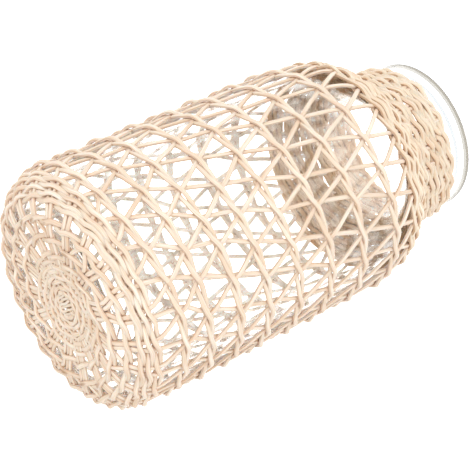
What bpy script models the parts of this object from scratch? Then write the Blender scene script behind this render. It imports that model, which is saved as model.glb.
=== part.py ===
"""A glass vase in a hand-woven rattan jacket.

Metres, +Z up. The origin is on the axis, at the level that the vase stands on. The jacket is laid out on one turned
surface, the middle of the weave. A place on it is a turn about the axis, a run along its profile from the middle of
the base, and a rise above it, outwards from the glass.
"""

import math

import bmesh
import bpy
from mathutils import Matrix, Vector

MM = 0.001

# Glass
HEIGHT = 300 * MM
GLASS_RADIUS = 72.4 * MM
GLASS_WALL = 3 * MM
GLASS_FLOOR = 4 * MM
GLASS_CORNER = 19.5 * MM
GLASS_SHOULDER = 42 * MM
GLASS_NECK = 47.8 * MM
NECK_FILLET = 19.8 * MM
NECK_STRAIGHT = 25.2 * MM
LIP_RADIUS = 52.4 * MM
LIP_SHOWING = 17 * MM
LIP_START = 1 * MM
PUNT = 3 * MM

# Strands
STAKE = 2.6 * MM
WEAVER = 2.4 * MM
TOUCH = 0.3 * MM
PASSING = 0.5 * MM
BESIDE = 0.6 * MM

# Layout of the weave. An odd number of pairs lets one strand close a twined row on itself after two turns.
PAIRS = 23
FIRST_NODE = -83.4
RIGHT_SHARE = 0.37
STAKE_START_ROW = 0.5
BODY_ROWS = 8
FIRST_ROW = 34 * MM
LAST_ROW_BELOW_SHOULDER = 6.3 * MM
PITCH_GROWTH = 0.069
LEAN = 8 * MM
CORNER_BAND_TOP = 22 * MM
CORNER_ROWS = 5
CORNER_PITCH_GAP = 1.2 * MM
NECK_BAND_ABOVE_SHOULDER = 15 * MM
NECK_ROWS = 15
NECK_PITCH = 4 * MM
WHORL_RADIUS = 33 * MM
WHORL_ROWS = 6
STANDING_ROW_INSET = 0.5 * MM
SPOKES = 15
SPOKE_STRANDS = 3
ROW_GROOVE = 0.9 * MM
BAND_BED = 0.6 * MM
BAND_BACK = 0.25 * MM

# Faceting
SEGMENTS = 32
BASE_SEGMENTS = 24
ARC_STEPS = 4
STRAND_RESOLUTION = 0
STEPS_PER_NODE = 2
LINES_PER_ROW = 4
BAND_BACK_LINES = 7

# Worked out from the sizes above
RISE = STAKE / 2 + PASSING + WEAVER
BACK = RISE + TOUCH
MIDDLE = GLASS_RADIUS + BACK
FLAT = GLASS_RADIUS - GLASS_CORNER
CORNER = GLASS_CORNER + BACK
SHOULDER = GLASS_SHOULDER + BACK
NECK = GLASS_NECK + BACK
FILLET = NECK_FILLET - BACK
SHOULDER_X = MIDDLE - SHOULDER
FILLET_X = NECK + FILLET
SHOULDER_TURN = math.acos((FILLET_X - SHOULDER_X) / (SHOULDER + FILLET))
WEAVE_TOP = HEIGHT - LIP_SHOWING
FILLET_Z = HEIGHT - LIP_SHOWING + LIP_START - NECK_STRAIGHT
SHOULDER_Z = FILLET_Z - (SHOULDER + FILLET) * math.sin(SHOULDER_TURN)
CORNER_Z = RISE + CORNER
CORNER_END = FLAT + CORNER * math.pi / 2
SHOULDER_RUN = CORNER_END + SHOULDER_Z - CORNER_Z
FILLET_RUN = SHOULDER_RUN + SHOULDER * SHOULDER_TURN
NECK_RUN = FILLET_RUN + FILLET * SHOULDER_TURN
TOP_RUN = NECK_RUN + WEAVE_TOP - FILLET_Z
STEP = 360 / PAIRS
NODE_HALF = (STAKE + BESIDE) / 2
WRAP_HALF = NODE_HALF + STAKE / 2 + BESIDE
CROSSING = WEAVER + 0.7 * STAKE
TWIST = (WEAVER + TOUCH) / 2
CORNER_PITCH = WEAVER + CORNER_PITCH_GAP
END_GAP = STAKE / 2 + TOUCH


def dome(radius):
    """How far the middle of the base is pushed up at this radius."""
    return PUNT * max(0.0, 1 - (radius / FLAT) ** 2)


def on_profile(run, rise):
    """Radius and height at a run along the middle of the weave, moved outwards by the rise."""
    if run < FLAT:
        return run, RISE + dome(run) - rise
    if run < CORNER_END:
        turn = (run - FLAT) / CORNER
        return FLAT + (CORNER + rise) * math.sin(turn), CORNER_Z - (CORNER + rise) * math.cos(turn)
    if run < SHOULDER_RUN:
        return MIDDLE + rise, CORNER_Z + run - CORNER_END
    if run < FILLET_RUN:
        turn = (run - SHOULDER_RUN) / SHOULDER
        return SHOULDER_X + (SHOULDER + rise) * math.cos(turn), SHOULDER_Z + (SHOULDER + rise) * math.sin(turn)
    if run < NECK_RUN:
        turn = SHOULDER_TURN - (run - FILLET_RUN) / FILLET
        return FILLET_X - (FILLET - rise) * math.cos(turn), FILLET_Z - (FILLET - rise) * math.sin(turn)
    return NECK + rise, FILLET_Z + run - NECK_RUN


def run_at_height(height):
    """The run at which the middle of the weave is this high, from the base's corner to the shoulder."""
    if height < CORNER_Z:
        return FLAT + CORNER * math.acos((CORNER_Z - height) / CORNER)
    return CORNER_END + height - CORNER_Z


BAND_TOP_RUN = run_at_height(CORNER_BAND_TOP)
BAND_BOTTOM_RUN = BAND_TOP_RUN - CORNER_ROWS * CORNER_PITCH
NECK_BAND_RUN = SHOULDER_RUN + NECK_BAND_ABOVE_SHOULDER
NECK_FIRST = NECK_BAND_RUN + WEAVER / 2 + PASSING
NECK_LAST = TOP_RUN - WEAVER / 2 - PASSING - TOUCH
NECK_SPREAD = (NECK_LAST - NECK_FIRST - NECK_PITCH * (NECK_ROWS - 1)) / (NECK_ROWS - 1) ** 2
STAKE_START_RUN = BAND_TOP_RUN + END_GAP
STAKE_END_RUN = NECK_BAND_RUN - END_GAP


def row_runs():
    """The run of each open row of the body. The rows spread a little towards the shoulder."""
    first, last = run_at_height(FIRST_ROW), SHOULDER_RUN - LAST_ROW_BELOW_SHOULDER
    pitches = [1 + PITCH_GROWTH * i for i in range(BODY_ROWS - 1)]
    runs = [first]
    for pitch in pitches:
        runs.append(runs[-1] + (last - first) * pitch / sum(pitches))
    return runs


def lean_at(run):
    """How far the hand-woven rows climb towards +X, and sink towards -X, at this run. The bands don't lean."""
    rows = row_runs()
    if run < rows[0]:
        return LEAN * max(0.0, (run - STAKE_START_RUN) / (rows[0] - STAKE_START_RUN))
    return LEAN * min(1.0, max(0.0, (STAKE_END_RUN - run) / (STAKE_END_RUN - rows[-1])))


def place(degrees, run, rise):
    """The point at this turn, run and rise, with the lean of the rows."""
    turn = math.radians(degrees)
    radius, height = on_profile(run + lean_at(run) * math.cos(turn), rise)
    return radius * math.cos(turn), radius * math.sin(turn), height


def turn_of(length):
    """The turn in degrees that this length spans on the body."""
    return math.degrees(length / MIDDLE)


def node_turn(row, node):
    """The turn of a node on a body row, where a left and a right stake are held. Rows count from 1."""
    return FIRST_NODE + STEP * (node + RIGHT_SHARE * row)


def clear_scene():
    for obj in list(bpy.data.objects):
        bpy.data.objects.remove(obj, do_unlink=True)


def new_collection(name):
    collection = bpy.data.collections.new(name)
    bpy.context.scene.collection.children.link(collection)
    return collection


def new_material(name, colour, roughness, transmission=0.0):
    material = bpy.data.materials.new(name)
    material.use_nodes = True
    shader = material.node_tree.nodes["Principled BSDF"]
    shader.inputs["Base Color"].default_value = (*colour, 1)
    shader.inputs["Roughness"].default_value = roughness
    shader.inputs["Metallic"].default_value = 0.0
    shader.inputs["Transmission Weight"].default_value = transmission
    material.diffuse_color = (*colour, 1)
    return material


def add_object(name, data, material, collection):
    data.materials.append(material)
    obj = bpy.data.objects.new(name, data)
    collection.objects.link(obj)
    return obj


def turned(name, profile, material, collection, segments=SEGMENTS):
    """A profile of (radius, height) points, down its outer side, turned about Z."""
    mesh = bpy.data.meshes.new(name)
    closed = profile[0][0] > 0
    links = [(i, i + 1) for i in range(len(profile) - 1)]
    if closed:
        links.append((len(profile) - 1, 0))
    mesh.from_pydata([(radius, 0, height) for radius, height in profile], links, [])
    obj = add_object(name, mesh, material, collection)
    screw = obj.modifiers.new("Turn", "SCREW")
    screw.steps = screw.render_steps = segments
    screw.use_merge_vertices = True
    screw.merge_threshold = 0.00001
    screw.use_smooth_shade = True
    return obj


def strand(name, places, diameter, material, collection, closed=False):
    """A round cane through places of (turn, run, rise). An open one keeps the same edge outwards all along."""
    curve = bpy.data.curves.new(name, "CURVE")
    curve.dimensions = "3D"
    curve.bevel_depth = diameter / 2
    curve.bevel_resolution = STRAND_RESOLUTION
    curve.use_fill_caps = not closed
    spline = curve.splines.new("POLY")
    spline.points.add(len(places) - 1)
    for point, (turn, run, rise) in zip(spline.points, places):
        point.co = (*place(turn, run, rise), 1)
        point.tilt = 0 if closed else math.radians(turn - places[0][0])
    spline.use_cyclic_u = closed
    return add_object(name, curve, material, collection)


def arc_runs(start, end, steps):
    return [start + (end - start) * i / steps for i in range(steps + 1)]


def glass_outline(rise):
    """The glass wall from the edge of its underside to the start of the lip, at this rise."""
    runs = arc_runs(FLAT, CORNER_END, ARC_STEPS)
    runs += arc_runs(SHOULDER_RUN, FILLET_RUN, ARC_STEPS)
    runs += arc_runs(FILLET_RUN, NECK_RUN, ARC_STEPS - 1)[1:]
    return [on_profile(run, rise) for run in runs]


def glass_vessel(material, collection):
    """The bottle: a blown body with a rounded shoulder, a short neck and a flared lip, open at the top."""
    outer = glass_outline(-BACK)
    inner = glass_outline(-BACK - GLASS_WALL)
    raised = GLASS_FLOOR - GLASS_WALL + PUNT
    floor = [(FLAT * share, inner[0][1] + raised * (1 - share**2)) for share in (0, 0.4, 0.75)]
    bead = GLASS_WALL / 2
    flare_start = WEAVE_TOP + LIP_START
    flare_height = HEIGHT - bead - flare_start
    flare = [
        (GLASS_NECK + (LIP_RADIUS - GLASS_NECK) * (i / ARC_STEPS) ** 2, flare_start + flare_height * i / ARC_STEPS)
        for i in range(ARC_STEPS + 1)
    ]
    rim = [
        (LIP_RADIUS - bead + bead * math.cos(math.pi * i / 4), HEIGHT - bead + bead * math.sin(math.pi * i / 4))
        for i in range(1, 4)
    ]
    punt = [(FLAT * share, outer[0][1] + dome(FLAT * share)) for share in (0.75, 0.5, 0.25, 0)]
    profile = [*floor, *inner]
    profile += [(radius - GLASS_WALL, height) for radius, height in flare]
    profile += [*reversed(rim), *reversed(flare), *reversed(outer), *punt]
    return turned("glass_vessel", profile, material, collection)


def ridged(runs, depth):
    """The outer side of a band of close rows: a crest in the middle of each row and a groove between two."""
    line = [(runs[0], RISE - depth)]
    for start, end in zip(runs, runs[1:]):
        line += [((start + end) / 2, RISE), (end, RISE - depth)]
    return line


def close_band(name, start, end, rows, back_steps, material, collection):
    """A band of close rows from one run to another, with its back clear of the glass."""
    crests = ridged(arc_runs(start, end, rows), ROW_GROOVE)
    front = [on_profile(run, rise) for run, rise in reversed(crests)]
    back = [on_profile(run, -RISE) for run in arc_runs(start, end, back_steps)]
    return turned(name, back + front, material, collection)


def neck_row_run(row):
    """The run of a close row of the neck band. They loosen a little towards the mouth. Rows count from 0."""
    return NECK_FIRST + NECK_PITCH * row + NECK_SPREAD * row**2


def twining_rise(node, run):
    """The outer face of the neck band's close twining, at a place counted in nodes and at a run."""
    rise = BAND_BED
    for row in range(NECK_ROWS):
        for weaver in range(2):
            phase = math.pi * (node + weaver)
            beside = abs(run - neck_row_run(row) - TWIST * math.sin(phase))
            if beside < WEAVER / 2:
                middle = (STAKE / 2 + PASSING + WEAVER / 2) * math.cos(phase)
                rise = max(rise, middle + math.sqrt((WEAVER / 2) ** 2 - beside**2))
    return rise


def twined_band(name, material, collection):
    """The close twining over the shoulder and up the neck: one shell with its weavers' floats and crossings outside."""
    lines = [NECK_BAND_RUN]
    for row in range(NECK_ROWS - 1):
        start, end = neck_row_run(row), neck_row_run(row + 1)
        lines += arc_runs(start, end, LINES_PER_ROW)[:-1]
    lines += [NECK_LAST, TOP_RUN]
    back = [(run, BAND_BACK - RISE) for run in reversed(arc_runs(NECK_BAND_RUN, TOP_RUN, BAND_BACK_LINES))]
    loop = [(run, None) for run in lines] + back
    columns = PAIRS * STEPS_PER_NODE
    mesh = bmesh.new()
    bmesh.ops.create_grid(mesh, x_segments=columns, y_segments=len(loop), size=0.5)
    for vertex in mesh.verts:
        node = round((vertex.co.x + 0.5) * columns) % columns / STEPS_PER_NODE
        run, rise = loop[round((vertex.co.y + 0.5) * len(loop)) % len(loop)]
        if rise is None:
            rise = twining_rise(node, run)
        turn = math.radians(node_turn(BODY_ROWS + 1, node))
        radius, height = on_profile(run, rise)
        vertex.co = (radius * math.cos(turn), radius * math.sin(turn), height)
    bmesh.ops.remove_doubles(mesh, verts=mesh.verts, dist=0.01 * MM)
    bmesh.ops.recalc_face_normals(mesh, faces=mesh.faces)
    data = bpy.data.meshes.new(name)
    mesh.to_mesh(data)
    mesh.free()
    return add_object(name, data, material, collection)


def twined_row(name, row, run, material, collection):
    """Two weavers that change places in front of and behind each node, as one strand that closes after two turns."""
    wrap = turn_of(WRAP_HALF)
    places = []
    for count in range(2 * PAIRS):
        side = 1 if count % 2 == 0 else -1
        turn = node_turn(row, count)
        rise = side * (STAKE / 2 + PASSING + WEAVER / 2)
        places.append((turn - wrap, run - side * TWIST, rise))
        places.append((turn + wrap, run + side * TWIST, rise))
    return strand(name, places, WEAVER, material, collection, closed=True)


def stake_places(index, side):
    """The way of a stake from the corner band to the neck band. The side is 1 for a right lean and -1 for a left."""
    beside = -side * turn_of(NODE_HALF)
    cross_rise = -side * (STAKE + TOUCH) / 2

    def turn_at(row):
        shift = 0 if side > 0 else -row
        return node_turn(row, index + shift)

    places = [(turn_at(STAKE_START_ROW) + beside, STAKE_START_RUN, 0)]
    for row, run in enumerate(row_runs(), start=1):
        places.append((turn_at(row) + beside, run, 0))
        places.append((turn_at(row), run + CROSSING, cross_rise))
    places.append((turn_at(BODY_ROWS + 1) + beside, STAKE_END_RUN, 0))
    return places


def base_spokes(material, helpers):
    """The spokes that carry the open rows of the base: strips of stakes side by side, from the whorl to the band."""
    start, end = WHORL_RADIUS - STAKE, BAND_BOTTOM_RUN - END_GAP
    mesh = bmesh.new()
    for index in range(SPOKES):
        turn = Matrix.Rotation(math.radians(FIRST_NODE) + 2 * math.pi * index / SPOKES, 3, "Z")
        strip = bmesh.ops.create_grid(mesh, x_segments=ARC_STEPS, y_segments=1, size=0.5)["verts"]
        for vertex in strip:
            radius, height = on_profile(start + (end - start) * (vertex.co.x + 0.5), 0)
            vertex.co = turn @ Vector((radius, SPOKE_STRANDS * STAKE * vertex.co.y, height))
    data = bpy.data.meshes.new("base_spokes")
    mesh.to_mesh(data)
    mesh.free()
    spokes = helper(add_object("base_spokes", data, material, helpers))
    wall = spokes.modifiers.new("Strand", "SOLIDIFY")
    wall.thickness = STAKE
    wall.offset = 0
    return spokes


def helper(obj):
    obj.hide_render = True
    obj.display_type = "WIRE"
    return obj


def ring_profile(middle, width):
    """The four corners of a plain ring row of the base, from one face of the weave to the other."""
    inner, outer = (on_profile(middle + side * width / 2, -RISE) for side in (-1, 1))
    low_inner, low_outer = (on_profile(middle + side * width / 2, RISE) for side in (-1, 1))
    return [inner, outer, low_outer, low_inner]


def standing_profile(middle, width):
    """A ring row with a level underside at height 0, for the vase to stand on."""
    points = ring_profile(middle, width)
    return points[:2] + [(radius, 0) for radius, _ in points[2:]]


def base_mat(material, collection, helpers):
    """The underside: a close whorl, open rows and the spokes that carry them. The row at the edge of the flat stands."""
    crests = ridged(arc_runs(0, WHORL_RADIUS, WHORL_ROWS), ROW_GROOVE)
    under = [on_profile(run, rise) for run, rise in reversed(crests)]
    top = [on_profile(run, -RISE) for run in arc_runs(0, WHORL_RADIUS, 2)]
    mat = turned("base_mat", top + under, material, collection, BASE_SEGMENTS)
    width = WEAVER + PASSING
    standing = FLAT - STANDING_ROW_INSET
    rows = {
        "inner_row": ring_profile((WHORL_RADIUS + standing) / 2, width),
        "standing_row": standing_profile(standing, width),
        "outer_row": ring_profile((standing + BAND_BOTTOM_RUN) / 2, width),
    }
    for name, profile in rows.items():
        join(mat, helper(turned(name, profile, material, helpers, BASE_SEGMENTS)))
    join(mat, base_spokes(material, helpers))
    return mat


def join(body, tool):
    """Adds the tool's shape to the body."""
    union = body.modifiers.new("Join " + tool.name, "BOOLEAN")
    union.operation = "UNION"
    union.object = tool


def build():
    clear_scene()
    vase = new_collection("rattan_wrapped_glass_vase")
    helpers = new_collection("helpers")
    glass = new_material("clear_glass", (0.93, 0.96, 0.95), 0.02, transmission=1.0)
    stakes = new_material("rattan_stakes", (0.84, 0.66, 0.46), 0.55)
    weavers = new_material("rattan_weavers", (0.88, 0.71, 0.51), 0.55)

    glass_vessel(glass, vase)
    base_mat(weavers, vase, helpers)
    close_band("corner_band", BAND_BOTTOM_RUN, BAND_TOP_RUN, CORNER_ROWS, 3, weavers, vase)
    twined_band("neck_band", weavers, vase)
    for row, run in enumerate(row_runs(), start=1):
        twined_row(f"twined_row_{row}", row, run, weavers, vase)
    for index in range(PAIRS):
        for word, side in (("right", 1), ("left", -1)):
            name = f"{word}_stake_{index + 1:02d}"
            strand(name, stake_places(index, side), STAKE, stakes, vase)


build()
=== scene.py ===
"""A glass vase in a hand-woven rattan jacket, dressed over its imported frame.

Metres, +Z up. The vase stands on z = 0, and its photographed side faces -Y. Every cane is laid out on
one turned surface, the middle of the weave. A place on it is a turn about the axis in degrees, a run along
its profile from the middle of the base to the mouth, and a rise above it, outwards from the glass.
"""

import logging
import math
from dataclasses import dataclass
from enum import Enum

import bpy
import numpy as np
from mathutils import Euler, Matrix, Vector
from mathutils.kdtree import KDTree


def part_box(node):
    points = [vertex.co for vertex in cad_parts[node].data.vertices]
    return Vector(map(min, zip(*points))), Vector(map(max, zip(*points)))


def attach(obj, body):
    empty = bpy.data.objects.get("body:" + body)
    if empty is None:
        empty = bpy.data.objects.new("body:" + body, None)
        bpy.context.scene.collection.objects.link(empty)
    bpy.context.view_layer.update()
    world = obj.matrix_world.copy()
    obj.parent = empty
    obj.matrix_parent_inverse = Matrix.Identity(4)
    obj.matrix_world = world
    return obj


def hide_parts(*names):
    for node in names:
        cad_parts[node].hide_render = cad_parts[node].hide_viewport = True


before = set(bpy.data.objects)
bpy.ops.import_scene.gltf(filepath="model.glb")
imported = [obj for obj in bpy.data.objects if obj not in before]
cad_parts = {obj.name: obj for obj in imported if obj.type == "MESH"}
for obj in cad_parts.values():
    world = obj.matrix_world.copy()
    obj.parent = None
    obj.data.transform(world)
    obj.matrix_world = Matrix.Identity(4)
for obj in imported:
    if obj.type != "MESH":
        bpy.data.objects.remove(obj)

LOG = logging.getLogger("vase")
ROOT = "root"
MM = 0.001
SEED = 11


def linear(code: str) -> tuple[float, float, float, float]:
    """A colour for a shader socket.

    Args:
        code: The sRGB colour as six hex digits after a #.

    Returns:
        The linear colour, with an alpha of 1.
    """
    parts = [int(code[i : i + 2], 16) / 255 for i in (1, 3, 5)]
    low = [part / 12.92 for part in parts]
    high = [((part + 0.055) / 1.055) ** 2.4 for part in parts]
    return (*(a if part <= 0.04045 else b for part, a, b in zip(parts, low, high)), 1.0)


def add_node(
    tree: bpy.types.NodeTree, kind: str, inputs: dict | None = None, **settings: object
) -> bpy.types.Node:
    """Adds a node with its settings, and fills or links its inputs.

    Args:
        tree: The node tree that takes the node.
        kind: The node's type.
        inputs: A value, or another node's output, for each input by its name or number.
        settings: The node's own settings.

    Returns:
        The new node.
    """
    node = tree.nodes.new(kind)
    for name, value in settings.items():
        setattr(node, name, value)
    for name, value in (inputs or {}).items():
        if isinstance(value, bpy.types.NodeSocket):
            tree.links.new(value, node.inputs[name])
        else:
            node.inputs[name].default_value = value
    return node


def new_material(name: str) -> tuple[bpy.types.Material, bpy.types.NodeTree]:
    """A material with an empty node tree.

    Args:
        name: The material's name.

    Returns:
        The material and its node tree.
    """
    material = bpy.data.materials.new(name)
    material.use_nodes = True
    material.node_tree.nodes.clear()
    return material, material.node_tree


@dataclass(frozen=True)
class PeeledCane:
    """Natural rattan core, peeled and drawn round.

    The eye sees a pale, satin cane with long fibres that run with it, in paler and browner stretches. Its
    flanks carry painted shade, its inner side a painted tone of its own (paler as painted light, browner as
    painted shade), and the crevices where canes meet a browner painted shade still.
    """

    name: str
    pale: str = "#F9EDDF"
    straw: str = "#EAD4BB"
    tan: str = "#D6B08A"
    # Painted shade: the flanks take a browner colour where canes shade one another.
    shaded: str = "#BF8E5E"
    # Painted light and shade: the inner side gets its own tone, paler as painted light where far canes show
    # through the glass, browner as painted shade on the neck.
    inner: str = "#FFECE0"
    # Painted shade: crevices where canes meet are browned through an ambient occlusion mask.
    crevice_shade: str = "#A06C3C"
    tan_share: float = 0.55
    shaded_share: float = 0.42
    inner_share: float = 0.85
    crevice_share: float = 0.65
    # Real pores are about 0.2 mm wide. They are drawn at 0.5 mm, so that they show.
    fibre_width: float = 0.5 * MM
    fibre_length: float = 22 * MM
    fibre_detail: float = 3.0
    fibre_range: tuple[float, float] = (0.33, 0.62)
    fibre_bump: float = 0.35
    fibre_depth: float = 0.1 * MM
    patch_length: float = 70 * MM
    patch_slimness: float = 6
    patch_detail: float = 2.0
    patch_range: tuple[float, float] = (0.42, 0.75)
    flank_middle: float = 0.25 * MM
    unshaded_height: float = 0.65 * MM
    crevice_width: float = 1.8 * MM
    crevice_range: tuple[float, float] = (0.7, 0.15)
    crevice_samples: int = 8
    roughness: float = 0.55
    ior: float = 1.5
    gloss: float = 0.22
    glow: float = 0.35
    glow_depth: float = 1.3 * MM
    glow_reach: tuple[float, float, float] = (1.0, 0.72, 0.5)

    def material(self) -> bpy.types.Material:
        """Builds the material, which reads each cane's own straightened coordinates.

        Returns:
            The material.
        """
        material, tree = new_material(self.name)
        lay = add_node(tree, "ShaderNodeAttribute", attribute_name=CaneMaker.LAY)
        across, along = 1 / self.fibre_width, 1 / self.fibre_length
        fibre = self.grain(tree, lay, (across, across, along), self.fibre_detail)
        along = 1 / self.patch_length
        across = along * self.patch_slimness
        patch = self.grain(tree, lay, (across, across, along), self.patch_detail)
        streaks = add_node(tree, "ShaderNodeValToRGB", {"Fac": fibre})
        for stop, place, code in zip(
            streaks.color_ramp.elements, self.fibre_range, (self.straw, self.pale)
        ):
            stop.position = place
            stop.color = linear(code)
        parts = add_node(tree, "ShaderNodeSeparateXYZ", {0: lay.outputs["Vector"]})
        height = parts.outputs["X"]
        raised = add_node(tree, "ShaderNodeMath", {0: height, 1: self.flank_middle}, operation="SUBTRACT")
        flank = add_node(tree, "ShaderNodeMath", {0: raised.outputs[0]}, operation="ABSOLUTE")
        openness = add_node(
            tree,
            "ShaderNodeAmbientOcclusion",
            {"Distance": self.crevice_width},
            samples=self.crevice_samples,
        )
        unshaded = self.unshaded_height
        # Real tan patches, then painted shade on the flanks, a painted light or shade tone on the inner side
        # and painted shade in crevices.
        stains_and_painted_shading = (
            (patch, self.patch_range, self.tan_share, self.tan, "LINEAR"),
            (flank.outputs[0], (unshaded, 0.0), self.shaded_share, self.shaded, "SMOOTHSTEP"),
            (height, (0.0, -unshaded), self.inner_share, self.inner, "SMOOTHSTEP"),
            (openness.outputs["AO"], self.crevice_range, self.crevice_share, self.crevice_shade, "LINEAR"),
        )
        colour = streaks.outputs["Color"]
        for measure, (none_at, most_at), most, code, ease in stains_and_painted_shading:
            share = add_node(
                tree,
                "ShaderNodeMapRange",
                {"Value": measure, "From Min": none_at, "From Max": most_at, "To Min": 0.0, "To Max": most},
                interpolation_type=ease,
            )
            toned = add_node(
                tree,
                "ShaderNodeMix",
                {"Factor": share.outputs[0], "A": colour, "B": linear(code)},
                data_type="RGBA",
            )
            colour = toned.outputs[2]
        bump = add_node(
            tree,
            "ShaderNodeBump",
            {"Height": fibre, "Strength": self.fibre_bump, "Distance": self.fibre_depth},
        )
        shader = add_node(
            tree,
            "ShaderNodeBsdfPrincipled",
            {
                "Base Color": colour,
                "Roughness": self.roughness,
                "IOR": self.ior,
                "Specular IOR Level": self.gloss,
                "Subsurface Weight": self.glow,
                "Subsurface Radius": self.glow_reach,
                "Subsurface Scale": self.glow_depth,
                "Normal": bump.outputs["Normal"],
            },
        )
        add_node(tree, "ShaderNodeOutputMaterial", {"Surface": shader.outputs[0]})
        return material

    def grain(
        self,
        tree: bpy.types.NodeTree,
        lay: bpy.types.Node,
        scale: tuple[float, float, float],
        detail: float,
    ) -> bpy.types.NodeSocket:
        """A noise that is drawn out along the cane.

        Args:
            tree: The material's node tree.
            lay: The node that reads the straightened coordinates.
            scale: The noise's turns per metre, twice across the cane and then along it.
            detail: The noise's detail.

        Returns:
            The noise's output.
        """
        place = add_node(tree, "ShaderNodeMapping", {"Vector": lay.outputs["Vector"], "Scale": scale})
        noise = add_node(
            tree, "ShaderNodeTexNoise", {"Vector": place.outputs[0], "Scale": 1.0, "Detail": detail}
        )
        return noise.outputs["Fac"]


@dataclass(frozen=True)
class ClearGlass:
    """Blown soda-lime glass.

    The eye sees it clear and polished by the flame, and faintly grey where light has far to go in it.
    """

    name: str
    tint: str = "#FEFFFE"
    depth_colour: str = "#CACFC4"
    depth_density: float = 0.6
    roughness: float = 0.0
    ior: float = 1.5
    gloss: float = 0.8

    def material(self) -> bpy.types.Material:
        """Builds the material, which lets lamps through to the canes behind it.

        Returns:
            The material.
        """
        material, tree = new_material(self.name)
        glass = add_node(
            tree,
            "ShaderNodeBsdfPrincipled",
            {
                "Base Color": linear(self.tint),
                "Specular Tint": linear(self.tint),
                "Roughness": self.roughness,
                "IOR": self.ior,
                "Specular IOR Level": self.gloss,
                "Transmission Weight": 1.0,
            },
        )
        clear = add_node(tree, "ShaderNodeBsdfTransparent", {"Color": linear(self.tint)})
        depth = add_node(
            tree,
            "ShaderNodeVolumeAbsorption",
            {"Color": linear(self.depth_colour), "Density": self.depth_density},
        )
        path = add_node(tree, "ShaderNodeLightPath")
        mixed = add_node(
            tree,
            "ShaderNodeMixShader",
            {0: path.outputs["Is Shadow Ray"], 1: glass.outputs[0], 2: clear.outputs[0]},
        )
        add_node(
            tree, "ShaderNodeOutputMaterial", {"Surface": mixed.outputs[0], "Volume": depth.outputs[0]}
        )
        return material


class Side(Enum):
    """The way that a stake leans on the body as it climbs, seen from outside."""

    RIGHT = 1
    LEFT = -1


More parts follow.
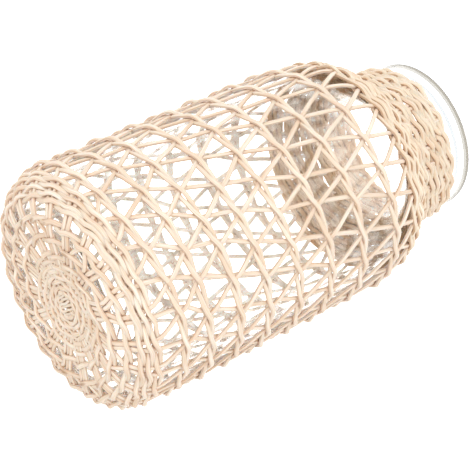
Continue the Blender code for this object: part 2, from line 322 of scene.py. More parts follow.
@dataclass
class WeaveSurface:
    """The turned surface through the middle of the jacket, worked out from the glass that it wraps."""

    glass_radius: float
    height: float
    glass_corner: float = 19.5 * MM
    glass_shoulder: float = 42 * MM
    glass_neck: float = 47.8 * MM
    neck_fillet: float = 19.8 * MM
    neck_straight: float = 25.2 * MM
    lip_showing: float = 17 * MM
    lip_start: float = 1 * MM
    punt: float = 3 * MM
    jacket: float = 4.2 * MM
    clearance: float = 0.3 * MM
    lift: float = 0.8 * MM
    hub_shift: tuple[float, float] = (5.6 * MM, -6.8 * MM)
    hub_stretch: float = 0.08
    hub_zone: tuple[float, float] = (48 * MM, 90 * MM)
    normal_step: float = 0.1 * MM

    def __post_init__(self) -> None:
        """Works out the arcs of the profile and the runs at which they meet."""
        self.back = self.jacket + self.clearance
        self.middle = self.glass_radius + self.back
        self.flat = self.glass_radius - self.glass_corner
        self.corner = self.glass_corner + self.back
        self.shoulder = self.glass_shoulder + self.back
        self.neck = self.glass_neck + self.back
        self.fillet = self.neck_fillet - self.back
        self.shoulder_x = self.middle - self.shoulder
        self.fillet_x = self.neck + self.fillet
        centres = self.shoulder + self.fillet
        self.shoulder_turn = math.acos((self.fillet_x - self.shoulder_x) / centres)
        self.top = self.height - self.lip_showing
        self.fillet_z = self.top + self.lip_start - self.neck_straight
        self.shoulder_z = self.fillet_z - centres * math.sin(self.shoulder_turn)
        self.corner_z = self.jacket + self.corner
        self.corner_end = self.flat + self.corner * math.pi / 2
        self.shoulder_run = self.corner_end + self.shoulder_z - self.corner_z
        self.fillet_run = self.shoulder_run + self.shoulder * self.shoulder_turn
        self.neck_run = self.fillet_run + self.fillet * self.shoulder_turn
        self.top_run = self.neck_run + self.top - self.fillet_z
        self.lean_runs = [self.flat, self.shoulder_run]
        self.leans = [0.0, 0.0]

    def profile(self, run: np.ndarray, rise: np.ndarray) -> tuple[np.ndarray, np.ndarray]:
        """The turned surface's section.

        Args:
            run: The runs along the middle of the weave.
            rise: How far each point is moved outwards from it.

        Returns:
            The radius and the height of each point.
        """
        corner = (run - self.flat) / self.corner
        shoulder = (run - self.shoulder_run) / self.shoulder
        fillet = self.shoulder_turn - (run - self.fillet_run) / self.fillet
        dome = self.punt * (1 - (run / self.flat) ** 2)
        ends = (self.flat, self.corner_end, self.shoulder_run, self.fillet_run, self.neck_run)
        zones = [run < end for end in ends]
        outer = self.shoulder + rise
        inner = self.fillet - rise
        radius = np.select(
            zones,
            [
                run,
                self.flat + (self.corner + rise) * np.sin(corner),
                self.middle + rise,
                self.shoulder_x + outer * np.cos(shoulder),
                self.fillet_x - inner * np.cos(fillet),
            ],
            self.neck + rise,
        )
        height = np.select(
            zones,
            [
                self.jacket + dome - rise,
                self.corner_z - (self.corner + rise) * np.cos(corner),
                self.corner_z + run - self.corner_end,
                self.shoulder_z + outer * np.sin(shoulder),
                self.fillet_z - inner * np.sin(fillet),
            ],
            self.fillet_z + run - self.neck_run,
        )
        return radius, height

    def run_at(self, height: float) -> float:
        """The run at a height on the body."""
        return self.corner_end + height - self.corner_z

    def set_lean(self, leans: dict[float, float]) -> None:
        """Says how far the rows climb towards +X, and sink towards -X, at each run."""
        self.lean_runs = sorted(leans)
        self.leans = [leans[run] for run in self.lean_runs]

    def place(self, turn: np.ndarray, run: np.ndarray, rise: np.ndarray) -> np.ndarray:
        """Points on the jacket.

        Args:
            turn: The turns about the axis, in degrees.
            run: The runs along the profile, before the lean of the rows.
            rise: The rises above the middle of the weave.

        Returns:
            One row of x, y and z for each point.
        """
        angle = np.radians(turn)
        leaning = run + np.interp(run, self.lean_runs, self.leans) * np.cos(angle)
        share = np.clip((run - self.hub_zone[0]) / (self.hub_zone[1] - self.hub_zone[0]), 0, 1)
        drawn = 1 - share**2 * (3 - 2 * share)
        along_x = leaning * np.cos(angle) + self.hub_shift[0] * drawn
        along_y = leaning * np.sin(angle) * (1 + self.hub_stretch * drawn) + self.hub_shift[1] * drawn
        moved = drawn > 0
        leaning = np.where(moved, np.hypot(along_x, along_y), leaning)
        angle = np.where(moved, np.arctan2(along_y, along_x), angle)
        radius, height = self.profile(leaning, rise + self.lift)
        return np.stack([radius * np.cos(angle), radius * np.sin(angle), height], axis=1)

    def outward(self, turn: np.ndarray, run: np.ndarray) -> np.ndarray:
        """The jacket's outward direction.

        Args:
            turn: The turns about the axis, in degrees.
            run: The runs along the profile.

        Returns:
            One unit vector for each place.
        """
        level = np.zeros_like(run)
        offset = self.place(turn, run, level + self.normal_step) - self.place(turn, run, level)
        return offset / np.linalg.norm(offset, axis=1)[:, None]


def smooth_through(keys: list[float], values: list[float], at: np.ndarray) -> np.ndarray:
    """A smooth line through points, which never swings past them.

    Args:
        keys: The points' places, rising.
        values: The points' values.
        at: Where the line is read.

    Returns:
        The line's values there.
    """
    x, y = np.array(keys), np.array(values)
    width = np.diff(x)
    slope = np.diff(y) / width
    before, after = slope[:-1], slope[1:]
    same_way = before * after > 0
    bend = np.where(same_way, 2 * before * after / np.where(same_way, before + after, 1), 0)
    tangent = np.concatenate([slope[:1], bend, slope[-1:]])
    part = np.clip(np.searchsorted(x, at, side="right") - 1, 0, len(x) - 2)
    t = (at - x[part]) / width[part]
    start, end = y[part], y[part + 1]
    leave, arrive = tangent[part] * width[part], tangent[part + 1] * width[part]
    return (
        start * (2 * t**3 - 3 * t**2 + 1)
        + leave * (t**3 - 2 * t**2 + t)
        + end * (3 * t**2 - 2 * t**3)
        + arrive * (t**3 - t**2)
    )


@dataclass
class Strand:
    """The centre line of one round cane on the jacket."""

    turn: np.ndarray
    run: np.ndarray
    rise: np.ndarray
    diameter: float
    closed: bool = False


@dataclass
class CaneMaker:
    """Draws strands out to round canes, each a closed tube with its grain along it."""

    LAY = "lay"

    surface: WeaveSurface
    rng: np.random.Generator
    sides_resolution: int = 3
    swelling: float = 0.06
    swell_length: float = 30 * MM
    wander: float = 0.28 * MM
    wander_length: float = 26 * MM
    least_wanders: int = 4
    thinner: float = 0.82
    wider: float = 1.05
    smooth_angle: float = 50
    weld: float = 0.001 * MM
    grain_offset: float = 0.37
    made: int = 0

    def make(self, name: str, strands: list[Strand], finish: bpy.types.Material) -> bpy.types.Object:
        """Makes one piece of one or more canes.

        Args:
            name: The piece's name.
            strands: The canes' centre lines.
            finish: The canes' material.

        Returns:
            The piece, with its place in its mesh.
        """
        canes = [self.draw(name, strand) for strand in strands]
        bpy.ops.object.select_all(action="DESELECT")
        for cane in canes:
            cane.select_set(True)
        bpy.context.view_layer.objects.active = canes[0]
        if len(canes) > 1:
            bpy.ops.object.join()
        piece = bpy.context.object
        piece.name = name
        piece.data.name = name
        piece.data.materials.clear()
        piece.data.materials.append(finish)
        bpy.ops.object.shade_smooth_by_angle(angle=math.radians(self.smooth_angle))
        piece.select_set(False)
        return piece

    def draw(self, name: str, strand: Strand) -> bpy.types.Object:
        """Draws one cane as a bevelled curve, makes it a mesh and marks its grain.

        Args:
            name: The cane's name.
            strand: Its centre line on the jacket.

        Returns:
            The cane's mesh object.
        """
        points = self.surface.place(strand.turn, strand.run, strand.rise)
        points = self.stray(points, self.surface.outward(strand.turn, strand.run), strand.closed)
        bpy.ops.object.select_all(action="DESELECT")
        bpy.ops.curve.primitive_nurbs_path_add()
        cane = bpy.context.object
        cane.name = name
        curve = cane.data
        curve.splines.clear()
        curve.twist_mode = "MINIMUM"
        curve.bevel_depth = strand.diameter / 2
        curve.bevel_resolution = self.sides_resolution
        curve.use_fill_caps = not strand.closed
        spline = curve.splines.new("POLY")
        spline.points.add(len(points) - 1)
        spline.use_cyclic_u = strand.closed
        spline.points.foreach_set("co", np.c_[points, np.ones(len(points))].ravel())
        spline.points.foreach_set("radius", self.swell(points, strand.closed))
        bpy.ops.object.convert(target="MESH")
        bpy.ops.object.mode_set(mode="EDIT")
        bpy.ops.mesh.select_all(action="SELECT")
        bpy.ops.mesh.remove_doubles(threshold=self.weld)
        bpy.ops.mesh.normals_make_consistent(inside=False)
        bpy.ops.object.mode_set(mode="OBJECT")
        self.finish_section(cane, strand, points)
        return cane

    def stray(self, points: np.ndarray, out: np.ndarray, closed: bool) -> np.ndarray:
        """Lets a cane wander a little to either side of its line, as hand-laid cane does.

        Args:
            points: The centre line's points.
            out: The jacket's outward direction at each.
            closed: Whether the cane closes on itself.

        Returns:
            The points of the line that has strayed.
        """
        ahead = np.gradient(points, axis=0)
        beside = np.cross(ahead / np.linalg.norm(ahead, axis=1)[:, None], out)
        steps = self.wanders(points, self.wander_length)
        knots = self.rng.normal(0, self.wander, steps + 1)
        if closed:
            knots[-1] = knots[0]
        at = np.linspace(0, steps, len(points))
        shift = smooth_through(list(range(steps + 1)), knots.tolist(), at)
        return points + beside * shift[:, None]

    def wanders(self, points: np.ndarray, length: float) -> int:
        """How often something may change along a cane, if it does so once in a length."""
        span = len(points) * np.linalg.norm(points[1] - points[0])
        return max(self.least_wanders, int(span / length))

    def swell(self, points: np.ndarray, closed: bool) -> np.ndarray:
        """How a cane's thickness wanders along it, as drawn cane's does.

        Args:
            points: The centre line's points.
            closed: Whether the cane closes on itself.

        Returns:
            The cane's thickness at each point, as a share of its diameter.
        """
        steps = self.wanders(points, self.swell_length)
        knots = self.rng.uniform(-self.swelling, self.swelling, steps + 1)
        if closed:
            knots[-1] = knots[0]
        return 1 + np.interp(np.linspace(0, steps, len(points)), range(steps + 1), knots)

    def finish_section(self, cane: bpy.types.Object, strand: Strand, points: np.ndarray) -> None:
        """Presses the section a little flat, and stores where each vertex would be if the cane lay straight.

        Args:
            cane: The cane's mesh object.
            strand: Its centre line on the jacket.
            points: The centre line's points, after it has strayed.
        """
        tree = KDTree(len(points))
        for index, point in enumerate(points):
            tree.insert(point, index)
        tree.balance()
        mesh = cane.data
        nearest = np.array([tree.find(vertex.co)[1] for vertex in mesh.vertices])
        ahead = np.gradient(points, axis=0)
        ahead /= np.linalg.norm(ahead, axis=1)[:, None]
        out = self.surface.outward(strand.turn, strand.run)
        beside = np.cross(ahead, out)
        along = np.concatenate([[0], np.cumsum(np.linalg.norm(np.diff(points, axis=0), axis=1))])
        flat_list = np.empty(len(mesh.vertices) * 3, np.float32)
        mesh.vertices.foreach_get("co", flat_list)
        places = flat_list.reshape(-1, 3)
        offset = places - points[nearest]
        high = (offset * out[nearest]).sum(axis=1)
        wide = (offset * beside[nearest]).sum(axis=1)
        places = places + out[nearest] * (high * (self.thinner - 1))[:, None]
        places += beside[nearest] * (wide * (self.wider - 1))[:, None]
        mesh.vertices.foreach_set("co", places.astype(np.float32).ravel())
        self.made += 1
        lay = np.stack([high, wide, along[nearest] + self.made * self.grain_offset], axis=1)
        attribute = mesh.attributes.new(self.LAY, "FLOAT_VECTOR", "POINT")
        attribute.data.foreach_set("vector", lay.astype(np.float32).ravel())


@dataclass
class Layout:
    """Where the stakes meet the rows. Stakes come in pairs, and a pair's two stakes part on the body."""

    surface: WeaveSurface
    rng: np.random.Generator
    row_heights: list[float]
    pairs: int = 23
    first_node: float = -83.4
    right_share: float = 0.37
    band_pair: float = -0.055
    turn_wander: float = 0.9
    turn_wander_most: float = 1.8
    run_wander: float = 0.6 * MM
    run_waves: tuple[int, ...] = (2, 3, 4)
    corner_first: float = 71.8 * MM
    corner_last: float = 83 * MM
    corner_lean: float = 3 * MM
    row_leans: tuple[float, float] = (9.5 * MM, 8 * MM)
    neck_first: float = 288.6 * MM
    neck_lean: float = 0.5 * MM

    def __post_init__(self) -> None:
        """Sets the rows' runs, the surface's lean and how far the hand-woven nodes wander."""
        self.step = 360 / self.pairs
        self.row_runs = [self.surface.run_at(height) for height in self.row_heights]
        self.neck_row = len(self.row_runs) + 1
        leans = {self.corner_first: 0.0, self.corner_last: self.corner_lean}
        leans |= dict(zip(self.row_runs, np.linspace(*self.row_leans, len(self.row_runs))))
        leans |= {self.neck_first: self.neck_lean, self.surface.top_run: 0.0}
        self.surface.set_lean(leans)
        shape = (self.neck_row + 1, self.pairs)
        most = self.turn_wander_most
        self.turn_jitter = np.clip(self.rng.normal(0, self.turn_wander, shape), -most, most)
        phases = self.rng.uniform(0, 2 * math.pi, (self.neck_row + 1, len(self.run_waves)))
        steps = np.arange(self.pairs) * 2 * math.pi / self.pairs
        waves = [
            np.sin(wave * steps[None, :] + phases[:, k : k + 1]) for k, wave in enumerate(self.run_waves)
        ]
        self.run_jitter = self.run_wander * sum(waves)

    def node(self, row: int, index: int) -> tuple[float, float]:
        """Where a row holds a pair of stakes.

        Args:
            row: The row, counted up from the top of the corner band, which is row 0.
            index: The node's number round the row, which may count on past the first round.

        Returns:
            The node's turn and run.
        """
        share = self.band_pair if row == 0 else self.right_share * row
        turn = self.first_node + self.step * (index + share)
        if row == 0:
            return turn, self.corner_last
        run = self.neck_first if row == self.neck_row else self.row_runs[row - 1]
        wander = index % self.pairs
        return turn + self.turn_jitter[row, wander], run + self.run_jitter[row, wander]

    def degrees(self, length: float, radius: float) -> float:
        """The turn that a length spans at a radius."""
        return math.degrees(length / radius)


@dataclass
class Stakes:
    """The canes from the middle of the base, over its corner, up the body as a lattice and to the mouth."""

    layout: Layout
    maker: CaneMaker
    diameter: float = 2.95 * MM
    spacing: float = 3.1 * MM
    groups: int = 15
    middle_start: float = 9 * MM
    middle_places: float = 0.6
    outer_start: float = 20 * MM
    group_end: float = 47 * MM
    group_keys: int = 6
    pair_start: float = 59 * MM
    band_spread: float = 2.5
    band_margin: float = 1 * MM
    beside_share: float = 0.6
    crossing: float = 4.6 * MM
    crossing_turn: float = 0.3
    crossing_rise: float = 1.2 * MM
    arrival: tuple[float, float] = (0.8, 0.2)
    neck_margin: float = 8 * MM
    neck_keys: int = 8
    point_spacing: float = 2.4 * MM
    top_margin: float = 1.5 * MM

    def build(self, finish: bpy.types.Material) -> None:
        """Makes all the stakes, and lets each stand for its solid.

        Args:
            finish: The canes' material.
        """
        count = self.layout.pairs * 2
        for cane in range(count):
            pair, side = cane // 2, self.side(cane)
            piece = self.maker.make(f"{side.name.lower()}_cane_{pair + 1:02d}", [self.strand(cane)], finish)
            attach(piece, ROOT)
            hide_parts(f"{side.name.lower()}_stake_{pair + 1:02d}")
        LOG.info("made %d stakes", count)

    def side(self, cane: int) -> Side:
        """The way that a stake leans."""
        return Side.RIGHT if cane % 2 else Side.LEFT

    def band_turn(self, cane: int, spread: float) -> float:
        """The turn of a stake in the corner band, with its pair spread by so many degrees."""
        return self.layout.node(0, cane // 2)[0] + (spread if cane % 2 else -spread)

    def members(self, group: int) -> list[int]:
        """The stakes of a group on the base."""
        count = self.layout.pairs * 2
        return [cane for cane in range(count) if cane * self.groups // count == group]

    def group_turn(self, index: int) -> float:
        """Where a group of stakes lies on the base.

        Args:
            index: The group's number, which may count on past the first round.

        Returns:
            The turn of the group's middle.
        """
        spread = self.layout.step / 4
        turns = [self.band_turn(cane, spread) for cane in self.members(index % self.groups)]
        return float(np.mean(turns)) + 360 * (index // self.groups)

    def strand(self, cane: int) -> Strand:
        """The whole way of one stake.

        Args:
            cane: The stake's number, two to each pair.

        Returns:
            The stake's centre line.
        """
        layout, surface = self.layout, self.layout.surface
        group = cane * self.groups // (layout.pairs * 2)
        members, centre = self.members(group), self.group_turn(group)
        place = members.index(cane) - (len(members) - 1) / 2
        start = self.middle_start if abs(place) < self.middle_places else self.outer_start
        keys = []
        for run in np.linspace(start, self.group_end, self.group_keys):
            keys.append((run, centre + layout.degrees(place * self.spacing, run), 0.0))
        close = layout.degrees(self.spacing / 2, self.pair_start)
        keys.append((self.pair_start, self.band_turn(cane, close), 0.0))
        keys.append((layout.corner_last + self.band_margin, self.band_turn(cane, self.band_spread), 0.0))
        pair, side = cane // 2, self.side(cane)
        beside = -side.value * layout.degrees(self.spacing * self.beside_share, surface.middle)
        for row in range(1, layout.neck_row + 1):
            index = pair if side is Side.RIGHT else pair - row
            turn, run = layout.node(row, index)
            keys.append((run, turn + beside, 0.0))
            if row < layout.neck_row:
                rise = -side.value * self.crossing_rise
                keys.append((run + self.crossing, turn - self.crossing_turn, rise))
        (run_before, turn_before, _), (run_last, turn_last, _) = keys[-2:]
        late, early = self.arrival
        near = (late * run_last + early * run_before, late * turn_last + early * turn_before, 0.0)
        keys.insert(-1, near)
        neck_turn = layout.node(layout.neck_row, index)[0]
        neck_start, neck_end = layout.neck_first + self.neck_margin, surface.top_run - self.top_margin
        for run in np.linspace(neck_start, neck_end, self.neck_keys):
            radius = float(surface.profile(np.array([run]), np.zeros(1))[0][0])
            keys.append((run, neck_turn - side.value * layout.degrees(self.spacing / 2, radius), 0.0))
        runs = [key[0] for key in keys]
        at = np.linspace(runs[0], runs[-1], int((runs[-1] - runs[0]) / self.point_spacing))
        return Strand(
            smooth_through(runs, [key[1] for key in keys], at),
            at,
            smooth_through(runs, [key[2] for key in keys], at),
            self.diameter,
        )


@dataclass
class Twining:
    """Rows of two weavers that change places in front of and behind the stakes, held by their twist."""

    layout: Layout
    maker: CaneMaker
    diameter: float = 3.15 * MM
    reach: float = 2.0 * MM
    twist: float = 1.25 * MM
    proud: float = 1.05 * MM
    rise_waves: tuple[float, float] = (0.87, 0.13)
    shift_waves: tuple[float, float] = (1.15, 0.2)
    points_each: int = 10

    def wave(self, phase: np.ndarray, reach: float, twist: float) -> tuple[np.ndarray, np.ndarray]:
        """How a weaver passes the stakes and its partner.

        The second of each pair of waves is three times as quick. It draws the weaver straighter over the
        stakes and turns it more sharply between them.

        Args:
            phase: The weaver's phase, which grows by 1 from node to node.
            reach: How far it passes in front of and behind the middle of the stakes.
            twist: How far it passes above and below its partner.

        Returns:
            Its rise, and its shift along the run.
        """
        slow, quick = math.pi * phase, 3 * math.pi * phase
        rise = reach * (self.rise_waves[0] * np.cos(slow) + self.rise_waves[1] * np.cos(quick))
        return rise, twist * (self.shift_waves[0] * np.sin(slow) + self.shift_waves[1] * np.sin(quick))

    def ring(
        self, turns: list[float], runs: list[float], reach: float, twist: float, diameter: float
    ) -> Strand:
        """A twined row round an odd number of nodes: one strand that closes after two turns.

        Args:
            turns: The nodes' turns, once round.
            runs: The nodes' runs.
            reach: How far the weavers pass in front of and behind the middle of the stakes.
            twist: How far they pass above and below each other.
            diameter: The weavers' diameter.

        Returns:
            The strand.
        """
        count = len(turns)
        phase = np.arange(2 * count * self.points_each) / self.points_each
        keys = list(range(-1, 2 * count + 2))
        key_turns = [turns[k % count] + 360 * (k // count) for k in keys]
        key_runs = [runs[k % count] for k in keys]
        rise, shift = self.wave(phase, reach, twist)
        turn = smooth_through(keys, key_turns, phase)
        run = smooth_through(keys, key_runs, phase) + shift
        return Strand(turn, run, rise, diameter, closed=True)

    def build_body(self, finish: bpy.types.Material) -> None:
        """Makes the open rows of the body, and lets each stand for its solid.

        Args:
            finish: The weavers' material.
        """
        layout = self.layout
        for row in range(1, layout.neck_row):
            nodes = [layout.node(row, index) for index in range(layout.pairs)]
            turns, runs = [n[0] for n in nodes], [n[1] for n in nodes]
            strand = self.ring(turns, runs, self.reach, self.twist, self.diameter)
            strand.rise += self.proud
            piece = self.maker.make(f"body_twining_{row}", [strand], finish)
            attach(piece, ROOT)
            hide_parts(f"twined_row_{row}")
        LOG.info("made %d twined rows", layout.neck_row - 1)


@dataclass
class NeckBand:
    """The close twining over the shoulder and up the neck, of rows that loosen towards the mouth."""

    layout: Layout
    twining: Twining
    rows: int = 15
    pitch: float = 4 * MM
    top_margin: float = 2 * MM
    diameter: float = 3.15 * MM
    top_diameter: float = 3.8 * MM
    reach: float = 2.35 * MM
    straighter: float = 0.3
    twist: float = 0.85 * MM
    top_twist: float = 1.25 * MM
    turn_wander: float = 2.4
    run_wander: float = 0.45 * MM

    def row_run(self, row: int) -> float:
        """The height of a row on the band, which spreads towards the mouth.

        Args:
            row: The row, counted from 0 at the shoulder.

        Returns:
            The row's run.
        """
        first, last = self.layout.neck_first, self.rows - 1
        spread = (self.layout.surface.top_run - self.top_margin - first - self.pitch * last) / last**2
        return first + self.pitch * row + spread * row**2

    def build(self, finish: bpy.types.Material) -> None:
        """Makes the rows as one piece, which stands for the band's solid.

        Args:
            finish: The weavers' material.
        """
        layout, rng = self.layout, self.layout.rng
        nodes = [layout.node(layout.neck_row, index)[0] for index in range(layout.pairs)]
        strands = []
        for row in range(self.rows):
            up = row / (self.rows - 1)
            wanders = rng.normal(0, self.turn_wander, layout.pairs)
            turns = [turn + wander for turn, wander in zip(nodes, wanders)]
            wanders = rng.normal(0, self.run_wander * (1 + up), layout.pairs)
            runs = [self.row_run(row) + wander for wander in wanders]
            reach = self.reach * (1 - self.straighter * up**2)
            twist = self.twist + (self.top_twist - self.twist) * up
            diameter = self.diameter + (self.top_diameter - self.diameter) * up**2
            strands.append(self.twining.ring(turns, runs, reach, twist, diameter))
        piece = self.twining.maker.make("neck_twining", strands, finish)
        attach(piece, ROOT)
        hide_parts("neck_band")
        LOG.info("made the neck band of %d rows", self.rows)


@dataclass
class CornerBand:
    """The close rows round the corner of the base: twined pairs, one beside the other."""

    layout: Layout
    twining: Twining
    rows: int = 3
    diameter: float = 2.95 * MM
    reach: float = 2.1 * MM
    twist: float = 1.5 * MM
    turn_wander: float = 1.2
    run_wander: float = 0.35 * MM

    def build(self, finish: bpy.types.Material) -> None:
        """Makes the rows as one piece, which stands for the band's solid.

        Args:
            finish: The weavers' material.
        """
        layout, rng = self.layout, self.layout.rng
        nodes = [layout.node(0, index)[0] for index in range(layout.pairs)]
        strands = []
        for middle in np.linspace(layout.corner_first, layout.corner_last, self.rows):
            wanders = rng.normal(0, self.turn_wander, layout.pairs)
            turns = [turn + wander for turn, wander in zip(nodes, wanders)]
            runs = [middle + wander for wander in rng.normal(0, self.run_wander, layout.pairs)]
            strands.append(self.twining.ring(turns, runs, self.reach, self.twist, self.diameter))
        piece = self.twining.maker.make("corner_twining", strands, finish)
        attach(piece, ROOT)
        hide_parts("corner_band")
        LOG.info("made the corner band of %d rows", self.rows)


@dataclass
class BaseMat:
    """The underside: crossed canes at the middle, a weaver wound round them, and a twined pair wound on."""

    layout: Layout
    stakes: Stakes
    twining: Twining
    whorl_start: float = 7 * MM
    whorl_pitch: float = 3.3 * MM
    whorl_cane: float = 3.05 * MM
    diameter: float = 3.1 * MM
    reach: float = 1.1 * MM
    least_reach: float = 0.25
    full_reach_run: float = 24 * MM
    middle_rise: float = 1.2 * MM
    open_start: float = 32.5 * MM
    open_turn: float = 180.0
    open_pitch: float = 11.6 * MM
    open_rise: float = -0.25 * MM
    open_reach: float = 2.3 * MM
    open_twist: float = 1.25 * MM
    open_rounds: int = 5
    cross_bars: int = 7
    cross_pitch: float = 2.15 * MM
    cross_length: float = 16 * MM
    cross_cane: float = 2.05 * MM
    cross_rises: tuple[float, float] = (1.3 * MM, -1.2 * MM)
    cross_slope: float = 0.012
    cross_points: int = 9
    points_each: int = 8

    def build(self, finish: bpy.types.Material, stake_finish: bpy.types.Material) -> None:
        """Makes the whorl, which stands for the mat's solid, the open rows and the crossed middle.

        Args:
            finish: The weavers' material.
            stake_finish: The material of the canes that cross at the middle.
        """
        maker = self.twining.maker
        whorl = maker.make("base_whorl", [self.whorl()], finish)
        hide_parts("base_mat")
        rows = maker.make("base_twining", self.open_rows(), finish)
        for piece in (whorl, rows):
            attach(piece, ROOT)
        cross = maker.make("base_cross", self.cross(), stake_finish)
        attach(cross, ROOT)
        LOG.info("made the base mat")

    def whorl(self) -> Strand:
        """The weaver that winds outwards from the crossed middle, over one group and under the next.

        Returns:
            The weaver's centre line.
        """
        groups = self.stakes.groups
        rounds = (self.open_start - self.whorl_start) / self.whorl_pitch
        count = int(rounds * groups)
        phase = np.arange(count * self.points_each) / self.points_each
        keys = list(range(-1, count + 2))
        turn = smooth_through(keys, [self.stakes.group_turn(k) for k in keys], phase)
        turn += self.open_turn - turn[-1]
        run = self.whorl_start + phase / groups * self.whorl_pitch
        full = np.clip((run - self.whorl_start) / (self.full_reach_run - self.whorl_start), 0, 1)
        reach = self.reach * (self.least_reach + (1 - self.least_reach) * full)
        rise = reach * np.cos(math.pi * phase) + self.middle_rise * (1 - full)
        return Strand(turn, run, rise, self.whorl_cane)

    def open_nodes(self) -> list[float]:
        """The places at which the twined pair holds groups of stakes, and further out pairs of them.

        Returns:
            The turns, up to where the pair meets the corner band.
        """
        layout, stakes = self.layout, self.stakes
        turns = [stakes.group_turn(k) for k in range(stakes.groups * self.open_rounds)]
        turns = [turn for turn in turns if turn > self.open_turn]
        split = (stakes.group_end + stakes.pair_start) / 2
        inner = [turn for turn in turns if self.open_run(turn) < split]
        pairs = [layout.node(0, k)[0] for k in range(layout.pairs * self.open_rounds)]
        outer = [turn for turn in pairs if turn > inner[-1] + layout.step / 2]
        return inner + [turn for turn in outer if self.open_run(turn) < layout.corner_first]

    def open_run(self, turn: float) -> float:
        """The run of the twined pair at a turn."""
        return self.open_start + self.open_pitch * (turn - self.open_turn) / 360

    def open_rows(self) -> list[Strand]:
        """The twined pair that winds outwards from the whorl to the corner band.

        Returns:
            The centre lines of its two weavers.
        """
        nodes = self.open_nodes()
        phase = np.arange((len(nodes) - 1) * self.points_each + 1) / self.points_each
        turn = smooth_through(list(range(len(nodes))), nodes, phase)
        strands = []
        for start in (0, 1):
            rise, shift = self.twining.wave(phase + start, self.open_reach, self.open_twist)
            run = self.open_run(turn) + shift
            strands.append(Strand(turn, run, rise + self.open_rise, self.diameter))
        return strands

    def cross(self) -> list[Strand]:
        """The canes that cross at the middle, in two layers.

        Returns:
            The canes' centre lines.
        """
        strands = []
        along = np.linspace(-self.cross_length / 2, self.cross_length / 2, self.cross_points)
        for layer, rise in enumerate(self.cross_rises):
            for bar in range(self.cross_bars):
                beside = np.full_like(along, (bar - (self.cross_bars - 1) / 2) * self.cross_pitch)
                x, y = (beside, along) if layer == 0 else (along, beside)
                turn, run = np.degrees(np.arctan2(y, x)), np.hypot(x, y)
                strands.append(Strand(turn, run, rise - self.cross_slope * run, self.cross_cane))
        return strands


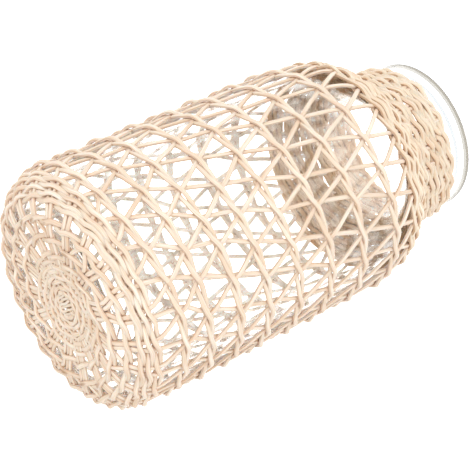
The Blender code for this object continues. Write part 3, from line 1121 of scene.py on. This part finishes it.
@dataclass
class GlassVase:
    """The blown bottle: a body, a rounded shoulder, a short neck and a flared lip with a rounded rim."""

    surface: WeaveSurface
    wall: float = 3 * MM
    floor: float = 4 * MM
    lip_radius: float = 52.4 * MM
    bead: float = 3.0 * MM
    bead_height: float = 2.2 * MM
    ring_below_rim: float = 7 * MM
    ring_width: float = 2.4 * MM
    even_flare: float = 0.6
    facets: int = 144
    arc_steps: int = 14
    floor_steps: int = 10
    bead_steps: int = 9
    weld: float = 0.01 * MM

    def outline(self, rise: float) -> list[tuple[float, float]]:
        """The wall from the edge of the underside to the start of the lip.

        Args:
            rise: Its rise above the middle of the weave.

        Returns:
            The radius and height of each point.
        """
        s = self.surface
        runs = np.concatenate(
            [
                np.linspace(s.flat, s.corner_end, self.arc_steps),
                np.linspace(s.shoulder_run, s.fillet_run, self.arc_steps),
                np.linspace(s.fillet_run, s.neck_run, self.arc_steps)[1:],
            ]
        )
        radius, height = s.profile(runs, np.full_like(runs, rise))
        return list(zip(radius.tolist(), height.tolist()))

    def profile(self) -> list[tuple[float, float]]:
        """The whole profile, from the middle of the floor inside, over the rim, to the middle of the punt.

        Returns:
            The radius and height of each point.
        """
        s = self.surface
        outer, inner = self.outline(-s.back), self.outline(-s.back - self.wall)
        raised = self.floor - self.wall + s.punt
        outwards, inwards = np.linspace(0, 1, self.floor_steps), np.linspace(1, 0, self.floor_steps)
        floor = [(s.flat * share, inner[0][1] + raised * (1 - share**2)) for share in outwards[:-1]]
        bead = self.bead / 2
        flare_start = s.top + s.lip_start
        flare_height = s.height - bead - flare_start
        shares = np.linspace(0, 1, self.arc_steps)
        flare_width = self.lip_radius - s.glass_neck
        flare = [
            (s.glass_neck + flare_width * share**2, flare_start + flare_height * share) for share in shares
        ]
        rim = [
            (self.lip_radius - bead + bead * math.cos(a), s.height - bead + bead * math.sin(a))
            for a in np.linspace(0, math.pi, self.bead_steps)[1:-1]
        ]
        punt = [(s.flat * share, outer[0][1] + s.punt * (1 - share**2)) for share in inwards[1:]]
        line = [*floor, *inner]
        walls = np.interp(shares, [0, self.even_flare, 1], [self.wall, self.wall, self.bead])
        line += [(radius - wall, height) for (radius, height), wall in zip(flare, walls)]
        line += [*reversed(rim), *reversed(flare), *reversed(outer), *punt]
        return line

    def finish_index(self, face: bpy.types.MeshPolygon) -> int:
        """Tells the rim, whose dark tint is painted shade, and a grey ring inside the lip from the rest.

        Args:
            face: A face of the vessel.

        Returns:
            1 on the rim, 2 on the ring and 0 elsewhere.
        """
        below = self.surface.height - face.center.z
        if below < self.bead_height:
            return 1
        inside = face.normal.x * face.center.x + face.normal.y * face.center.y < 0
        return 2 if inside and abs(below - self.ring_below_rim) < self.ring_width / 2 else 0

    def build(self, finishes: list[bpy.types.Material]) -> None:
        """Spins the profile to the vessel, which stands for the glass solid.

        Args:
            finishes: The materials of the glass, its rim and the ring inside its lip.
        """
        bpy.ops.object.select_all(action="DESELECT")
        mesh = bpy.data.meshes.new("glass_vase")
        line = self.profile()
        mesh.from_pydata([(r, 0, z) for r, z in line], [(i, i + 1) for i in range(len(line) - 1)], [])
        vase = bpy.data.objects.new("glass_vase", mesh)
        bpy.context.scene.collection.objects.link(vase)
        vase.select_set(True)
        bpy.context.view_layer.objects.active = vase
        bpy.ops.object.mode_set(mode="EDIT")
        bpy.ops.mesh.select_all(action="SELECT")
        bpy.ops.mesh.spin(steps=self.facets, angle=2 * math.pi, center=(0, 0, 0), axis=(0, 0, 1))
        bpy.ops.mesh.select_all(action="SELECT")
        bpy.ops.mesh.remove_doubles(threshold=self.weld)
        bpy.ops.mesh.normals_make_consistent(inside=False)
        bpy.ops.object.mode_set(mode="OBJECT")
        bpy.ops.object.shade_smooth()
        for finish in finishes:
            vase.data.materials.append(finish)
        for face in vase.data.polygons:
            face.material_index = self.finish_index(face)
        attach(vase, ROOT)
        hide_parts("glass_vessel")
        LOG.info("made the glass")


@dataclass
class Studio:
    """The pale floor, the plain light and the camera at the photograph's angle."""

    camera_place: tuple[float, float, float] = (0.0, -0.78113, -0.30518)
    camera_turn: tuple[float, float, float] = (142.8865, -52.0995, -46.9129)
    lens: float = 106.34
    sensor: float = 36.0
    nearest: float = 0.01
    fill: float = 0.955
    backdrop: float = 1.45
    shine: float = 2.4
    key_aim: tuple[float, float, float] = (0.0, 0.0, 0.15)
    key_direction: tuple[float, float, float] = (-0.12, -0.88, -0.42)
    key_distance: float = 1.3
    key_size: float = 0.6
    key_power: float = 4.3
    top_place: tuple[float, float, float] = (0.1, 0.2, 1.4)
    top_size: float = 0.7
    top_power: float = 6.0
    bounces: int = 32
    soft_bounces: int = 8
    floor_colour: str = "#F4F4F4"
    floor_radius: float = 4.0
    floor_facets: int = 96
    floor_drop: float = 0.4 * MM

    def build(self) -> None:
        """Sets up the camera, lamps and floor, and lets light through all the walls of the glass."""
        self.add_camera()
        self.add_world()
        self.add_key()
        self.add_top()
        self.add_floor()
        scene = bpy.context.scene
        scene.view_settings.view_transform = "Standard"
        scene.cycles.max_bounces = self.bounces
        scene.cycles.transmission_bounces = self.bounces
        scene.cycles.glossy_bounces = self.bounces
        scene.cycles.diffuse_bounces = self.soft_bounces

    def add_camera(self) -> None:
        """The camera, which looks up at the base as the photograph does."""
        turn = Euler([math.radians(angle) for angle in self.camera_turn])
        bpy.ops.object.camera_add(location=self.camera_place, rotation=turn)
        camera = bpy.context.object
        camera.data.lens = self.lens
        camera.data.sensor_width = self.sensor
        camera.data.clip_start = self.nearest
        bpy.context.scene.camera = camera

    def seen(self, tree: bpy.types.NodeTree) -> bpy.types.NodeSocket:
        """How much a ray counts as sight.

        Args:
            tree: The node tree that asks.

        Returns:
            The output that is 1 for the camera's rays and those that gloss or glass pass on, else 0.
        """
        path = add_node(tree, "ShaderNodeLightPath")
        first = add_node(
            tree,
            "ShaderNodeMath",
            {0: path.outputs["Is Camera Ray"], 1: path.outputs["Is Glossy Ray"]},
            operation="MAXIMUM",
        )
        both = add_node(
            tree,
            "ShaderNodeMath",
            {0: first.outputs[0], 1: path.outputs["Is Transmission Ray"]},
            operation="MAXIMUM",
        )
        return both.outputs[0]

    def add_world(self) -> None:
        """A white surround, overexposed as a backdrop is, so that it stays white behind the glass."""
        world = bpy.data.worlds.new("white_surround")
        world.use_nodes = True
        tree = world.node_tree
        tree.nodes.clear()
        through = add_node(
            tree,
            "ShaderNodeMapRange",
            {"Value": self.seen(tree), "To Min": self.fill, "To Max": self.backdrop},
        )
        path = add_node(tree, "ShaderNodeLightPath")
        mirrored = add_node(
            tree,
            "ShaderNodeMapRange",
            {"Value": path.outputs["Is Glossy Ray"], "To Min": 0.0, "To Max": self.shine - self.backdrop},
        )
        strength = add_node(
            tree, "ShaderNodeMath", {0: through.outputs[0], 1: mirrored.outputs[0]}, operation="ADD"
        )
        background = add_node(
            tree, "ShaderNodeBackground", {"Color": linear("#FFFFFF"), "Strength": strength.outputs[0]}
        )
        add_node(tree, "ShaderNodeOutputWorld", {"Surface": background.outputs[0]})
        bpy.context.scene.world = world

    def add_key(self) -> None:
        """A broad soft lamp on the side that is uppermost in the photograph."""
        direction = Vector(self.key_direction).normalized()
        place = Vector(self.key_aim) + direction * self.key_distance
        bpy.ops.object.light_add(type="AREA", location=place)
        lamp = bpy.context.object
        lamp.rotation_euler = direction.to_track_quat("Z", "Y").to_euler()
        lamp.data.size = self.key_size
        lamp.data.energy = self.key_power

    def add_top(self) -> None:
        """A soft lamp over the open mouth, which brightens the far side of the jacket from within."""
        bpy.ops.object.light_add(type="AREA", location=self.top_place)
        lamp = bpy.context.object
        lamp.data.size = self.top_size
        lamp.data.energy = self.top_power

    def add_floor(self) -> None:
        """A pale floor, seen from above only. It lets light through, so that the base shows from below."""
        bpy.ops.mesh.primitive_circle_add(
            vertices=self.floor_facets,
            radius=self.floor_radius,
            fill_type="NGON",
            location=(0, 0, -self.floor_drop),
        )
        floor = bpy.context.object
        floor.name = "floor"
        material, tree = new_material("pale_floor")
        matt = add_node(tree, "ShaderNodeBsdfDiffuse", {"Color": linear(self.floor_colour)})
        clear = add_node(tree, "ShaderNodeBsdfTransparent")
        geometry = add_node(tree, "ShaderNodeNewGeometry")
        above = add_node(
            tree, "ShaderNodeMath", {0: 1.0, 1: geometry.outputs["Backfacing"]}, operation="SUBTRACT"
        )
        shown = add_node(
            tree, "ShaderNodeMath", {0: self.seen(tree), 1: above.outputs[0]}, operation="MULTIPLY"
        )
        mixed = add_node(
            tree, "ShaderNodeMixShader", {0: shown.outputs[0], 1: clear.outputs[0], 2: matt.outputs[0]}
        )
        add_node(tree, "ShaderNodeOutputMaterial", {"Surface": mixed.outputs[0]})
        floor.data.materials.append(material)


def row_heights() -> list[float]:
    """Reads the body's open rows from the frame.

    Returns:
        The middle height of each row, from the lowest up.
    """
    prefix = "twined_row_"
    rows = [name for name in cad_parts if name.startswith(prefix)]
    rows.sort(key=lambda name: int(name.removeprefix(prefix)))
    return [sum(corner.z for corner in map(Vector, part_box(name))) / 2 for name in rows]


def main() -> None:
    """Builds the vase in order."""
    logging.basicConfig(level=logging.INFO, format="%(message)s")
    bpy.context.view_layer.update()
    rng = np.random.default_rng(SEED)
    low, high = map(Vector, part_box("glass_vessel"))
    surface = WeaveSurface(glass_radius=(high.x - low.x) / 2, height=high.z)
    layout = Layout(surface, rng, row_heights())
    maker = CaneMaker(surface, rng)
    stake_finish = PeeledCane("peeled_cane_stakes").material()
    weaver_finish = PeeledCane("peeled_cane_weavers", straw="#EAD3B9").material()
    # Painted shade: the neck weavers are a darker copy, with browner flanks and a brown inner side for the
    # shade in the close band.
    neck_finish = PeeledCane(
        "neck_weavers_with_painted_shade",
        pale="#F6EAD9",
        straw="#E2C9AA",
        shaded="#AE7A48",
        shaded_share=0.65,
        inner="#E0A56C",
        inner_share=0.45,
    ).material()
    glass_finishes = [
        ClearGlass("clear_blown_glass").material(),
        # Painted shade: the rim is tinted dark grey for the dark edge that the thick rounded glass shows.
        ClearGlass("rim_painted_dark_edge", tint="#827E76", gloss=0.25).material(),
        ClearGlass("grey_ring_inside_lip", tint="#868B90").material(),
    ]
    GlassVase(surface).build(glass_finishes)
    stakes = Stakes(layout, maker)
    stakes.build(stake_finish)
    twining = Twining(layout, maker)
    twining.build_body(weaver_finish)
    NeckBand(layout, twining).build(neck_finish)
    CornerBand(layout, twining).build(weaver_finish)
    BaseMat(layout, stakes, twining).build(weaver_finish, stake_finish)
    Studio().build()


if __name__ == "__main__":
    main()
